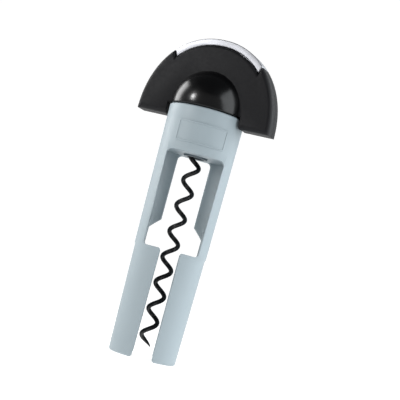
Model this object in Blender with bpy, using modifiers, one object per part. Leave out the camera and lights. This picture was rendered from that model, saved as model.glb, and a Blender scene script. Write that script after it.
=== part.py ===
"""Self-pulling table corkscrew: a two-leg tubular frame that stands on a bottle neck, and a turning
handle that carries the worm. The origin is on the worm's axis, level with the feet.
Front is -Y, up is +Z."""

import math

import bmesh
import bpy
from mathutils import Matrix, Vector

MM = 0.001
OBJECT_NAME = "self_pulling_corkscrew"

# Fits
RUNNING_GAP = 0.3 * MM  # between pieces that slide, turn or touch
PRESS_GAP = 0.3 * MM  # between pieces that are fixed to each other

# Frame: a tube that tapers towards its feet
FRAME_HEIGHT = 130.0 * MM
RIM_RADIUS = 19.8 * MM
UPPER_TAPER = 0.95 * MM  # off the radius, from the rim down to the top of the legs
LEG_STEP = 0.4 * MM  # the legs are set in by this much below the windows
LEG_TAPER = 1.05 * MM
LEG_WALL = 2.2 * MM
UPPER_WALL = 3.0 * MM
RIM_ROUND = 1.0 * MM
FOOT_ROUND = 1.0 * MM
LEG_TOP = 56.2 * MM
SEAT_LIFT = 9.8 * MM  # the bottle's lip stops this far above the legs
SEAT_THICKNESS = 3.0 * MM
SEAT_LEDGE = 2.65 * MM
COLLAR_HEIGHT = 23.7 * MM  # from the windows to the rim
FLOOR_THICKNESS = 3.2 * MM
CUP_WALL = 3.5 * MM

# Openings in the frame, as half-widths across X
CHEEK_WIDTH = 4.85 * MM  # seen from the front, what is left of the tube beside the notch
WINDOW_FLARE = 0.8 * MM  # the front window's top is wider than the notch by this much
BACK_WINDOW_HALF = 8.8 * MM
BACK_FLARE_LIFT = 9.6 * MM  # from the top of the legs to where the back opening draws in
BACK_FLARE_HEIGHT = 5.5 * MM
SLOT_HALF = 5.15 * MM
WINDOW_CORNER = 2.4 * MM
NOTCH_CORNER = 1.7 * MM
LEG_TOP_CORNER = 1.0 * MM
LEG_FOOT_CORNER = 1.7 * MM

# Plain badge on the front of the collar
BADGE_WIDTH = 25.0 * MM
BADGE_LIFT = 4.6 * MM  # above the windows
BADGE_HEIGHT = 11.0 * MM
BADGE_RAISE = 0.4 * MM
BADGE_CORNER = 0.8 * MM

# Guide bush and thrust washer
BORE_CLEARANCE = 0.57 * MM  # around the coil
BUSH_WALL = 1.3 * MM
BUSH_FLANGE_WIDTH = 2.2 * MM
BUSH_FLANGE_THICKNESS = 1.2 * MM
BUSH_LIP = 0.8 * MM  # how far the sleeve shows below the floor
WASHER_THICKNESS = 1.2 * MM

# Worm
WIRE_RADIUS = 1.18 * MM
COIL_RADIUS = 3.15 * MM  # to the middle of the wire
PITCH = 13.6 * MM
CREST_DROP = 5.9 * MM  # the coil is at +X this far below the windows' top
TIP_HEIGHT = 6.2 * MM
TIP_LENGTH = 5.0 * MM
COIL_RISE = 0.2 * MM  # full width up to this far above the windows' top
SHANK_DROP = 1.5 * MM  # from the block's top to the bent end
BEND_SPARE = 0.12 * MM  # the bend's radius over the wire's

# Handle: an arch whose outline is a superellipse
HANDLE_TURN = math.radians(-21)  # where the handle stands at rest
ARCH_HALF_WIDTH = 36.8 * MM
ARCH_OVERLAP = 5.5 * MM  # the arch hangs down past the rim by this much
ARCH_RISE = 43.5 * MM
ARCH_POWER = 2.12
ARCH_THICKNESS = 13.5 * MM
ARCH_ROUND = 2.4 * MM
SEAT_ROUND = 1.6 * MM  # beside the strip
ARCH_WALL = 2.6 * MM
RECESS_CLEARANCE = 1.3 * MM  # around the frame's tube
DOME_SET_IN = 0.05 * MM
DOME_LIFT = 2.0 * MM  # the dome's centre is above the frame's rim by this much
DOME_WALL = 2.7 * MM
HUB_CORE_WALL = 3.5 * MM  # outside the block's flats
HUB_KEEP_WALL = 2.7 * MM  # the arch is solid this far out from the recess
SPIGOT_CLEARANCE = 0.4 * MM
SPIGOT_WALL = 2.4 * MM
SHANK_CLEARANCE = 0.82 * MM
POCKET_FLOOR = 2.4 * MM
HUB_ROOF = 2.8 * MM

# Drive block
BLOCK_ACROSS_FLATS = 11.0 * MM
BLOCK_HEIGHT = 22.0 * MM

# Trim strip along the crest
STRIP_DEPTH = 3.5 * MM
SHOULDER_WIDTH = 12.4 * MM  # from the handle's end to the strip's
STRIP_LEAN = 1.6 * MM  # the strip's ends lean outwards
STRIP_ROUND = 0.5 * MM
LUG_RADIUS = 1.2 * MM
LUG_LENGTH = 3.0 * MM
LUG_INSET = 10.1 * MM  # from the end of the strip's underside

# Shell screws
SCREW_RADIUS = 1.1 * MM
SCREW_HEAD_RADIUS = 2.3 * MM
SCREW_HEAD_THICKNESS = 1.6 * MM
SCREW_RECESS = 2.4 * MM  # from the rear face down to the head's seat
SCREW_END_WALL = 2.4 * MM  # left in front of the screw's tip
SCREW_BOSS_RADIUS = 3.6 * MM
TOP_SCREW_DROP = 10.0 * MM
SIDE_SCREW_LIFT = 6.5 * MM  # above the arch's bottom
SIDE_SCREW_INSET = 0.15 * MM  # from midway between the recess and the handle's end

ROUND_STEPS = 48
SMALL_STEPS = 24
ARC_STEPS = 5

WAIST_RADIUS = RIM_RADIUS - UPPER_TAPER
LEG_RADIUS = WAIST_RADIUS - LEG_STEP
FOOT_RADIUS = LEG_RADIUS - LEG_TAPER
SEAT_HEIGHT = LEG_TOP + SEAT_LIFT
SEAT_RADIUS = LEG_RADIUS - LEG_WALL - SEAT_LEDGE
FLOOR_HEIGHT = FRAME_HEIGHT - COLLAR_HEIGHT
CUP_RADIUS = RIM_RADIUS - CUP_WALL
NOTCH_HALF = WAIST_RADIUS - CHEEK_WIDTH
FRONT_WINDOW_TOP_HALF = NOTCH_HALF + WINDOW_FLARE
BACK_FLARE_BOTTOM = LEG_TOP + BACK_FLARE_LIFT
BACK_FLARE_TOP = BACK_FLARE_BOTTOM + BACK_FLARE_HEIGHT
BADGE_BOTTOM = FLOOR_HEIGHT + BADGE_LIFT
BUSH_BORE_RADIUS = COIL_RADIUS + WIRE_RADIUS + BORE_CLEARANCE
BUSH_SLEEVE_RADIUS = BUSH_BORE_RADIUS + BUSH_WALL
BUSH_FLANGE_RADIUS = BUSH_SLEEVE_RADIUS + BUSH_FLANGE_WIDTH
RIGHT_CREST = FLOOR_HEIGHT - CREST_DROP
COIL_TOP = FLOOR_HEIGHT + COIL_RISE
FLOOR_TOP = FLOOR_HEIGHT + FLOOR_THICKNESS
WASHER_BOTTOM = FLOOR_TOP + RUNNING_GAP
WASHER_TOP = WASHER_BOTTOM + WASHER_THICKNESS
SPIGOT_BOTTOM = WASHER_TOP + RUNNING_GAP
HUB_BASE = FRAME_HEIGHT + RUNNING_GAP
DOME_RADIUS = RIM_RADIUS - DOME_SET_IN
DOME_CENTRE = FRAME_HEIGHT + DOME_LIFT
RECESS_RADIUS = RIM_RADIUS + RECESS_CLEARANCE
HUB_KEEP_RADIUS = RECESS_RADIUS + HUB_KEEP_WALL
HUB_CORE_RADIUS = BLOCK_ACROSS_FLATS / 2 + HUB_CORE_WALL
SPIGOT_RADIUS = CUP_RADIUS - SPIGOT_CLEARANCE
SHANK_HOLE_RADIUS = WIRE_RADIUS + SHANK_CLEARANCE
ARCH_BOTTOM = FRAME_HEIGHT - ARCH_OVERLAP
ARCH_TOP = ARCH_BOTTOM + ARCH_RISE
STRIP_OUTER_END = ARCH_HALF_WIDTH - SHOULDER_WIDTH
STRIP_INNER_END = STRIP_OUTER_END - STRIP_LEAN
LUG_OFFSET = STRIP_INNER_END - LUG_INSET
TOP_SCREW_HEIGHT = ARCH_TOP - TOP_SCREW_DROP
SIDE_SCREW_REACH = (RECESS_RADIUS + ARCH_HALF_WIDTH) / 2 - SIDE_SCREW_INSET
SIDE_SCREW_HEIGHT = ARCH_BOTTOM + SIDE_SCREW_LIFT
POCKET_BOTTOM = SPIGOT_BOTTOM + POCKET_FLOOR
BLOCK_BOTTOM = POCKET_BOTTOM + PRESS_GAP
BLOCK_TOP = BLOCK_BOTTOM + BLOCK_HEIGHT
POCKET_TOP = BLOCK_TOP + PRESS_GAP
BEND_RADIUS = WIRE_RADIUS + BEND_SPARE
BEND_REACH = BLOCK_ACROSS_FLATS / 2 - PRESS_GAP
SHANK_BEND_HEIGHT = BLOCK_TOP - SHANK_DROP
SLOT_FLOOR = SHANK_BEND_HEIGHT - WIRE_RADIUS - PRESS_GAP
HALF_THICKNESS = ARCH_THICKNESS / 2
WINDOW_REACH = 2 * RIM_RADIUS  # cutters run this far past the wall


def clear_scene():
    for item in list(bpy.data.objects):
        bpy.data.objects.remove(item)


def new_collection(name, hidden=False):
    made = bpy.data.collections.new(name)
    bpy.context.scene.collection.children.link(made)
    made.hide_render = hidden
    return made


def new_material(name, colour, roughness, metallic=0.0):
    made = bpy.data.materials.new(name)
    made.use_nodes = True
    shader = made.node_tree.nodes["Principled BSDF"]
    shader.inputs["Base Color"].default_value = (*colour, 1)
    shader.inputs["Roughness"].default_value = roughness
    shader.inputs["Metallic"].default_value = metallic
    return made


def finish(item, surface, sharp=math.radians(35)):
    """Gives a visible piece its material and smooth shading."""
    item.data.materials.append(surface)
    item.data.shade_smooth()
    item.data.set_sharp_from_angle(angle=sharp)
    return item


def add(name, mesh, group, parent=None):
    item = bpy.data.objects.new(name, mesh)
    group.objects.link(item)
    item.parent = parent
    if group.hide_render:
        item.hide_render = True
        item.display_type = "WIRE"
    return item


def turned(name, profile, group, parent=None, steps=ROUND_STEPS, closed=True):
    """A shape turned about Z. The profile is (radius, height) points, down its outer side first."""
    mesh = bpy.data.meshes.new(name)
    edges = [(i, i + 1) for i in range(len(profile) - 1)]
    if closed:
        edges.append((len(profile) - 1, 0))
    mesh.from_pydata([(radius, 0, height) for radius, height in profile], edges, [])
    item = add(name, mesh, group, parent)
    screw = item.modifiers.new("turn", "SCREW")
    screw.axis = "Z"
    screw.steps = screw.render_steps = steps
    screw.use_merge_vertices = True
    screw.merge_threshold = 1e-6
    return item


def prism(name, outline, near, far, group, parent=None):
    """A flat XZ outline given thickness along Y, from near to far."""
    curve = bpy.data.curves.new(name, "CURVE")
    curve.dimensions = "2D"
    curve.fill_mode = "BOTH"
    curve.extrude = (far - near) / 2
    line = curve.splines.new("POLY")
    line.points.add(len(outline) - 1)
    for point, (x, z) in zip(line.points, outline):
        point.co = (x, z, 0, 1)
    line.use_cyclic_u = True
    guide = bpy.data.objects.new(name + "_guide", curve)
    group.objects.link(guide)
    guide.rotation_euler.x = math.pi / 2
    guide.location.y = (near + far) / 2
    bpy.context.view_layer.update()
    evaluated = guide.evaluated_get(bpy.context.evaluated_depsgraph_get())
    mesh = bpy.data.meshes.new_from_object(evaluated)
    mesh.transform(guide.matrix_world)
    bpy.data.objects.remove(guide)
    form = bmesh.new()
    form.from_mesh(mesh)
    bmesh.ops.remove_doubles(form, verts=form.verts, dist=1e-6)
    bmesh.ops.dissolve_limit(form, angle_limit=math.radians(0.1), verts=form.verts, edges=form.edges)
    bmesh.ops.recalc_face_normals(form, faces=form.faces)
    form.to_mesh(mesh)
    form.free()
    return add(name, mesh, group, parent)


def rod(name, radius, start, end, group, parent=None, sides=SMALL_STEPS):
    """A cylinder, or with few sides a bar, between two points."""
    start, end = Vector(start), Vector(end)
    along = end - start
    turn = along.to_track_quat("Z", "Y").to_matrix().to_4x4()
    form = bmesh.new()
    bmesh.ops.create_cone(
        form, cap_ends=True, segments=sides, radius1=radius, radius2=radius, depth=along.length,
        matrix=Matrix.Translation((start + end) / 2) @ turn,
    )
    mesh = bpy.data.meshes.new(name)
    form.to_mesh(mesh)
    form.free()
    return add(name, mesh, group, parent)


def block(name, low, high, group, parent=None):
    """A box between two corners."""
    low, high = Vector(low), Vector(high)
    size = high - low
    form = bmesh.new()
    bmesh.ops.create_cube(
        form, size=1, matrix=Matrix.Translation((low + high) / 2) @ Matrix.Diagonal((*size, 1))
    )
    mesh = bpy.data.meshes.new(name)
    form.to_mesh(mesh)
    form.free()
    return add(name, mesh, group, parent)


def combine(item, other, operation="DIFFERENCE"):
    modifier = item.modifiers.new(other.name, "BOOLEAN")
    modifier.operation = operation
    modifier.object = other
    modifier.solver = "EXACT"
    return item


def round_edges(item, width):
    edge = item.modifiers.new("edge_round", "BEVEL")
    edge.width = width
    edge.segments = 2
    edge.limit_method = "ANGLE"
    edge.angle_limit = math.radians(50)
    return edge


def round_plate(shell):
    """Rounds the plate's faces all round: less beside the strip, and not in the notches' corners."""
    weights = shell.data.attributes.new("bevel_weight_edge", "FLOAT", "EDGE")
    for edge, weight in zip(shell.data.edges, weights.data):
        start, end = (shell.data.vertices[i].co for i in edge.vertices)
        on_face = abs(end.y - start.y) < ARCH_THICKNESS / 2
        in_notch = max(abs(start.x), abs(end.x)) < STRIP_OUTER_END + 2 * PRESS_GAP
        at_bottom = max(start.z, end.z) < ARCH_BOTTOM + PRESS_GAP
        if on_face:
            weight.value = SEAT_ROUND / ARCH_ROUND if in_notch and not at_bottom else 1
        elif at_bottom:
            weight.value = 1
    round_edges(shell, ARCH_ROUND).limit_method = "WEIGHT"


def rounded(corners):
    """An outline from (x, z, radius) corners, each rounded by an arc of its radius."""
    outline = []
    for i, (x, z, radius) in enumerate(corners):
        here = Vector((x, z))
        before = (Vector(corners[i - 1][:2]) - here).normalized()
        after = (Vector(corners[(i + 1) % len(corners)][:2]) - here).normalized()
        if radius == 0:
            outline.append(tuple(here))
            continue
        half = before.angle(after) / 2
        middle = here + (before + after).normalized() * radius / math.sin(half)
        start = here + before * radius / math.tan(half) - middle
        sweep = start.angle_signed(here + after * radius / math.tan(half) - middle)
        for step in range(ARC_STEPS + 1):
            turned_by = Matrix.Rotation(-sweep * step / ARC_STEPS, 2)
            outline.append(tuple(middle + turned_by @ start))
    return outline


def mirrored(right_side):
    """Corners from bottom to top on the right, with their mirror image on the left."""
    return right_side + [(-x, z, radius) for x, z, radius in reversed(right_side)]


def frame_radius(height):
    """The frame's outer radius above the legs."""
    share = (height - LEG_TOP) / (FRAME_HEIGHT - LEG_TOP)
    return WAIST_RADIUS + share * (RIM_RADIUS - WAIST_RADIUS)


def frame_profile():
    round_off = 0.3
    outside = [
        (RIM_RADIUS - RIM_ROUND, FRAME_HEIGHT),
        (RIM_RADIUS - round_off * RIM_ROUND, FRAME_HEIGHT - round_off * RIM_ROUND),
        (RIM_RADIUS, FRAME_HEIGHT - RIM_ROUND),
        (WAIST_RADIUS, LEG_TOP),
        (LEG_RADIUS, LEG_TOP - 2 * LEG_STEP),
        (FOOT_RADIUS, FOOT_ROUND),
        (FOOT_RADIUS - round_off * FOOT_ROUND, round_off * FOOT_ROUND),
        (FOOT_RADIUS - FOOT_ROUND, 0),
    ]
    seat_top = SEAT_HEIGHT + SEAT_THICKNESS
    upper_inside = frame_radius(seat_top) - UPPER_WALL
    inside = [
        (FOOT_RADIUS - LEG_WALL, 0),
        (LEG_RADIUS - LEG_WALL, LEG_TOP - 2 * LEG_STEP),
        (LEG_RADIUS - LEG_WALL, SEAT_HEIGHT),
        (SEAT_RADIUS, SEAT_HEIGHT),
        (SEAT_RADIUS, seat_top),
        (upper_inside, seat_top + upper_inside - SEAT_RADIUS),
        (frame_radius(FLOOR_HEIGHT) - UPPER_WALL, FLOOR_HEIGHT),
        (BUSH_SLEEVE_RADIUS + PRESS_GAP, FLOOR_HEIGHT),
        (BUSH_SLEEVE_RADIUS + PRESS_GAP, FLOOR_TOP),
        (CUP_RADIUS, FLOOR_TOP),
        (CUP_RADIUS, FRAME_HEIGHT),
    ]
    return outside + inside


def slot_and_notch():
    """The right side shared by the front and back openings, from below the foot up to the notch."""
    return [
        (SLOT_HALF + LEG_FOOT_CORNER, -WINDOW_REACH, 0),
        (SLOT_HALF + LEG_FOOT_CORNER, 0, 0),
        (SLOT_HALF, 0, LEG_FOOT_CORNER),
        (SLOT_HALF, LEG_TOP, LEG_TOP_CORNER),
        (NOTCH_HALF, LEG_TOP, NOTCH_CORNER),
    ]


def front_opening(cutters):
    right = slot_and_notch() + [(FRONT_WINDOW_TOP_HALF, FLOOR_HEIGHT, WINDOW_CORNER)]
    return prism("front_opening", rounded(mirrored(right)), -WINDOW_REACH, 0, cutters)


def back_opening(cutters):
    right = slot_and_notch() + [
        (NOTCH_HALF, BACK_FLARE_BOTTOM, 0),
        (BACK_WINDOW_HALF, BACK_FLARE_TOP, 0),
        (BACK_WINDOW_HALF, FLOOR_HEIGHT, WINDOW_CORNER),
    ]
    return prism("back_opening", rounded(mirrored(right)), 0, WINDOW_REACH, cutters)


def badge(cutters):
    """The raised pad: a sleeve just proud of the collar, kept only inside a rounded rectangle."""
    top, bottom = BADGE_BOTTOM + BADGE_HEIGHT, BADGE_BOTTOM
    spare = 2 * MM
    sunk = 1 * MM
    sleeve = turned("badge", [
        (frame_radius(top + spare) + BADGE_RAISE, top + spare),
        (frame_radius(bottom - spare) + BADGE_RAISE, bottom - spare),
        (frame_radius(bottom - spare) - sunk, bottom - spare),
        (frame_radius(top + spare) - sunk, top + spare),
    ], cutters)
    right = [(BADGE_WIDTH / 2, bottom, BADGE_CORNER), (BADGE_WIDTH / 2, top, BADGE_CORNER)]
    pad = prism("badge_outline", rounded(mirrored(right)), -WINDOW_REACH, -RIM_RADIUS / 2, cutters)
    return combine(sleeve, pad, "INTERSECT")


def body_frame(parts, cutters):
    frame = turned("body_frame", frame_profile(), parts)
    combine(frame, badge(cutters), "UNION")
    combine(frame, front_opening(cutters))
    combine(frame, back_opening(cutters))
    return finish(frame, new_material("abs_pale_blue_grey", (0.53, 0.61, 0.65), 0.45))


def guide_bush(parts):
    bush = turned("guide_bush", [
        (BUSH_FLANGE_RADIUS, WASHER_BOTTOM + BUSH_FLANGE_THICKNESS),
        (BUSH_FLANGE_RADIUS, WASHER_BOTTOM),
        (BUSH_SLEEVE_RADIUS, WASHER_BOTTOM),
        (BUSH_SLEEVE_RADIUS, FLOOR_HEIGHT - BUSH_LIP),
        (BUSH_BORE_RADIUS, FLOOR_HEIGHT - BUSH_LIP),
        (BUSH_BORE_RADIUS, WASHER_BOTTOM + BUSH_FLANGE_THICKNESS),
    ], parts, steps=2 * SMALL_STEPS)
    return finish(bush, new_material("acetal_grey", (0.45, 0.5, 0.53), 0.4))


def thrust_washer(parts):
    washer = turned("thrust_washer", [
        (SPIGOT_RADIUS, WASHER_TOP),
        (SPIGOT_RADIUS, WASHER_BOTTOM),
        (BUSH_FLANGE_RADIUS + RUNNING_GAP, WASHER_BOTTOM),
        (BUSH_FLANGE_RADIUS + RUNNING_GAP, WASHER_TOP),
    ], parts, steps=2 * SMALL_STEPS)
    return finish(washer, new_material("nylon_natural", (0.75, 0.73, 0.67), 0.5))


def coil_point(height):
    """The middle of the wire at a height, drawing in to the axis above the coil."""
    turn = 2 * math.pi * (height - RIGHT_CREST) / PITCH - HANDLE_TURN
    shank_start = SPIGOT_BOTTOM
    share = min(max((height - COIL_TOP) / (shank_start - COIL_TOP), 0), 1)
    radius = COIL_RADIUS * (0.5 + 0.5 * math.cos(math.pi * share))
    return Vector((radius * math.cos(turn), radius * math.sin(turn), height))


def worm(parts, turning):
    points_a_turn = 12
    count = round((SPIGOT_BOTTOM - TIP_HEIGHT) / PITCH * points_a_turn)
    heights = [TIP_HEIGHT + (SPIGOT_BOTTOM - TIP_HEIGHT) * i / count for i in range(count + 1)]
    path = [coil_point(height) for height in heights]
    bend_middle = Vector((BEND_RADIUS, 0, SHANK_BEND_HEIGHT - BEND_RADIUS))
    for step in range(ARC_STEPS + 1):
        angle = math.pi - math.pi / 2 * step / ARC_STEPS
        path.append(bend_middle + BEND_RADIUS * Vector((math.cos(angle), 0, math.sin(angle))))
    path.append(Vector((BEND_REACH, 0, SHANK_BEND_HEIGHT)))
    curve = bpy.data.curves.new("worm", "CURVE")
    curve.dimensions = "3D"
    curve.bevel_depth = WIRE_RADIUS
    curve.bevel_resolution = 2
    curve.use_fill_caps = True
    line = curve.splines.new("POLY")
    line.points.add(len(path) - 1)
    sharp_end = 0.12
    for point, place in zip(line.points, path):
        point.co = (*place, 1)
        point.radius = min(1, sharp_end + (place.z - TIP_HEIGHT) / TIP_LENGTH)
    item = bpy.data.objects.new("worm", curve)
    parts.objects.link(item)
    item.parent = turning
    curve.materials.append(new_material("coated_steel_black", (0.01, 0.01, 0.011), 0.35))
    return item


def drive_block(parts, cutters, turning):
    corner_radius = BLOCK_ACROSS_FLATS / 2 / math.cos(math.pi / 6)
    item = rod("drive_block", corner_radius, (0, 0, BLOCK_BOTTOM), (0, 0, BLOCK_TOP), parts, turning, 6)
    bore = WIRE_RADIUS + PRESS_GAP
    spare = 5 * MM
    combine(item, rod("shank_bore", bore, (0, 0, BLOCK_BOTTOM - spare), (0, 0, BLOCK_TOP + spare),
                      cutters, turning))
    slot_end = (2 * corner_radius, bore, BLOCK_TOP + spare)
    combine(item, block("bend_slot", (-bore, -bore, SLOT_FLOOR), slot_end, cutters, turning))
    return finish(item, new_material("zinc_cast", (0.45, 0.45, 0.44), 0.4, 1.0))


def arch_height(x, depth=0.0):
    """The height of the superellipse at x, or of the one that lies this deep inside it."""
    share = abs(x) / (ARCH_HALF_WIDTH - depth)
    rise = ARCH_TOP - ARCH_BOTTOM - depth
    return ARCH_BOTTOM + rise * (1 - share**ARCH_POWER) ** (1 / ARCH_POWER)


def arch_point(angle, side_depth=0.0, top_depth=0.0):
    """A point of such a curve by angle, from 0 at the right-hand end of the base."""
    half_width, rise = ARCH_HALF_WIDTH - side_depth, ARCH_TOP - ARCH_BOTTOM - top_depth
    x = half_width * math.copysign(abs(math.cos(angle)) ** (2 / ARCH_POWER), math.cos(angle))
    return x, ARCH_BOTTOM + rise * math.sin(angle) ** (2 / ARCH_POWER)


def crest(end, depth, steps=24):
    """Points from right to left over the top, at a depth below it."""
    across = [end * (1 - 2 * i / steps) for i in range(steps + 1)]
    return [(x, arch_height(x, depth)) for x in across]


def plate_outline():
    """The arch with its crest cut down to make room for the strip."""
    side_steps = 12
    shoulder = STRIP_OUTER_END + PRESS_GAP
    last = math.acos((shoulder / ARCH_HALF_WIDTH) ** (ARCH_POWER / 2))
    right = [arch_point(last * i / side_steps) for i in range(side_steps + 1)]
    left = [(-x, z) for x, z in reversed(right)]
    return right + crest(STRIP_INNER_END + PRESS_GAP, STRIP_DEPTH + PRESS_GAP) + left


def hub_profile():
    """The dome with the spigot and the hollow core under it."""
    dome_steps = 10
    base_round = 0.5 * MM
    outside = []
    for i in range(dome_steps + 1):
        angle = math.pi / 2 * (1 - i / dome_steps)
        radius = DOME_RADIUS * math.cos(angle) if i else 0
        outside.append((radius, DOME_CENTRE + DOME_RADIUS * math.sin(angle)))
    outside += [
        (DOME_RADIUS, HUB_BASE + base_round),
        (DOME_RADIUS - base_round, HUB_BASE),
        (SPIGOT_RADIUS, HUB_BASE),
        (SPIGOT_RADIUS, SPIGOT_BOTTOM),
    ]
    inside = [
        (SPIGOT_RADIUS - SPIGOT_WALL, SPIGOT_BOTTOM),
        (SPIGOT_RADIUS - SPIGOT_WALL, HUB_BASE - SPIGOT_WALL),
        (HUB_CORE_RADIUS, HUB_BASE - SPIGOT_WALL),
        (HUB_CORE_RADIUS, SPIGOT_BOTTOM),
        (SHANK_HOLE_RADIUS, SPIGOT_BOTTOM),
        (SHANK_HOLE_RADIUS, POCKET_BOTTOM + PRESS_GAP),
        (0, POCKET_BOTTOM + PRESS_GAP),
    ]
    return outside + inside


def dome_hollow(cutters, turning):
    """The space in the dome around and above the core."""
    steps = 8
    inner = DOME_RADIUS - DOME_WALL
    first = math.asin((HUB_BASE + DOME_WALL - DOME_CENTRE) / inner)
    profile = []
    for i in range(steps + 1):
        angle = math.pi / 2 + (first - math.pi / 2) * i / steps
        radius = inner * math.cos(angle) if i else 0
        profile.append((radius, DOME_CENTRE + inner * math.sin(angle)))
    profile += [
        (HUB_CORE_RADIUS, HUB_BASE + DOME_WALL),
        (HUB_CORE_RADIUS, POCKET_TOP + HUB_ROOF),
        (0, POCKET_TOP + HUB_ROOF),
    ]
    return turned("dome_hollow", profile, cutters, turning, closed=False)


def screw_places():
    top = Vector((0, 0, TOP_SCREW_HEIGHT))
    right = Vector((SIDE_SCREW_REACH, 0, SIDE_SCREW_HEIGHT))
    left = Vector((-SIDE_SCREW_REACH, 0, SIDE_SCREW_HEIGHT))
    return {"top": top, "left": left, "right": right}


def along_y(name, radius, place, start, end, group, turning):
    """A cylinder across the handle's thickness, at a screw's place."""
    first, last = place + Vector((0, start, 0)), place + Vector((0, end, 0))
    return rod(name, radius, first, last, group, turning)


def arch_hollow(cutters, turning):
    """The space inside the arch: clear of the hub, the strip, the screw bosses and the bottom."""
    top_depth = STRIP_DEPTH + PRESS_GAP + ARCH_WALL
    under_strip = STRIP_INNER_END + PRESS_GAP + ARCH_WALL
    half_width = ARCH_HALF_WIDTH - ARCH_WALL
    side_steps = 12
    last = math.acos((under_strip / half_width) ** (ARCH_POWER / 2))
    right = [arch_point(last * i / side_steps, ARCH_WALL, top_depth) for i in range(side_steps + 1)]
    left = [(-x, z) for x, z in reversed(right)]
    outline = right + crest(under_strip, top_depth) + left
    reach = HALF_THICKNESS - ARCH_WALL
    hollow = prism("arch_hollow", outline, -reach, reach, cutters, turning)
    middle = Vector((0, 0, DOME_CENTRE))
    far = ARCH_THICKNESS
    combine(hollow, along_y("hub_keep", HUB_KEEP_RADIUS, middle, -far, far, cutters, turning))
    wide = 2 * ARCH_HALF_WIDTH
    low = (-wide, -far, ARCH_BOTTOM - far)
    combine(hollow, block("bottom_keep", low, (wide, far, ARCH_BOTTOM + ARCH_WALL), cutters, turning))
    for side, place in screw_places().items():
        boss = along_y(side + "_boss_keep", SCREW_BOSS_RADIUS, place, -far, far, cutters, turning)
        combine(hollow, boss)
    return hollow


def handle_shell(name, side, parts, cutters, turning, surface):
    """One half of the handle: side is -1 for the front and 1 for the rear."""
    shell = prism(name, plate_outline(), -HALF_THICKNESS, HALF_THICKNESS, parts, turning)
    round_plate(shell)
    spare = 5 * MM
    recess_top = HUB_BASE + PRESS_GAP
    combine(shell, rod(name + "_recess", RECESS_RADIUS, (0, 0, ARCH_BOTTOM - spare), (0, 0, recess_top),
                       cutters, turning, 2 * SMALL_STEPS))
    combine(shell, turned(name + "_hub", hub_profile(), cutters, turning, closed=False), "UNION")
    combine(shell, dome_hollow(cutters, turning))
    combine(shell, arch_hollow(cutters, turning))
    corner_radius = (BLOCK_ACROSS_FLATS / 2 + PRESS_GAP) / math.cos(math.pi / 6)
    combine(shell, rod(name + "_pocket", corner_radius, (0, 0, POCKET_BOTTOM), (0, 0, POCKET_TOP),
                       cutters, turning, 6))
    for screw, place in screw_places().items():
        tip = -(HALF_THICKNESS - SCREW_END_WALL) - PRESS_GAP
        combine(shell, along_y(f"{name}_{screw}_hole", SCREW_RADIUS + PRESS_GAP, place, tip,
                               ARCH_THICKNESS, cutters, turning))
        seat = HALF_THICKNESS - SCREW_RECESS
        combine(shell, along_y(f"{name}_{screw}_recess", SCREW_HEAD_RADIUS + PRESS_GAP, place, seat,
                               ARCH_THICKNESS, cutters, turning))
    for x in (-LUG_OFFSET, LUG_OFFSET):
        top = arch_height(x, STRIP_DEPTH)
        combine(shell, rod(f"{name}_lug_{x:+.3f}", LUG_RADIUS + PRESS_GAP,
                           (x, 0, top - LUG_LENGTH - PRESS_GAP), (x, 0, top + spare), cutters, turning))
    far = 3 * ARCH_HALF_WIDTH
    near, away = (-PRESS_GAP / 2, far) if side < 0 else (-far, PRESS_GAP / 2)
    other_half = block(name + "_other_half", (-far, near, 0), (far, away, 2 * ARCH_TOP), cutters, turning)
    combine(shell, other_half)
    return finish(shell, surface)


def trim_strip(parts, cutters, turning):
    reach = HALF_THICKNESS - SEAT_ROUND
    inner = crest(STRIP_INNER_END, STRIP_DEPTH)
    outline = crest(STRIP_OUTER_END, 0) + inner[::-1]
    strip = prism("trim_strip", outline, -reach, reach, parts, turning)
    round_edges(strip, STRIP_ROUND)
    for x in (-LUG_OFFSET, LUG_OFFSET):
        seat = arch_height(x, STRIP_DEPTH)
        lug = rod(f"lug_{x:+.3f}", LUG_RADIUS, (x, 0, seat - LUG_LENGTH), (x, 0, seat + STRIP_DEPTH / 2),
                  cutters, turning)
        combine(strip, lug, "UNION")
    return finish(strip, new_material("stainless_steel", (0.8, 0.8, 0.8), 0.2, 1.0))


def shell_screw(side, place, parts, cutters, turning, surface):
    seat = HALF_THICKNESS - SCREW_RECESS + PRESS_GAP / 2
    tip = -(HALF_THICKNESS - SCREW_END_WALL)
    head = seat + SCREW_HEAD_THICKNESS
    screw = along_y(f"shell_screw_{side}", SCREW_HEAD_RADIUS, place, seat, head, parts, turning)
    combine(screw, along_y(f"{side}_shank", SCREW_RADIUS, place, tip, seat + SCREW_HEAD_THICKNESS / 2,
                           cutters, turning), "UNION")
    reach = 0.7 * SCREW_HEAD_RADIUS
    arm = 0.25 * SCREW_HEAD_RADIUS
    drive_floor = head - SCREW_HEAD_THICKNESS / 2
    for name, across, along in (("slot_a", reach, arm), ("slot_b", arm, reach)):
        low = place + Vector((-across, 0, -along))
        high = place + Vector((across, 0, along))
        low.y, high.y = drive_floor, head + SCREW_HEAD_THICKNESS
        combine(screw, block(f"{side}_{name}", low, high, cutters, turning))
    return finish(screw, surface)


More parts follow.
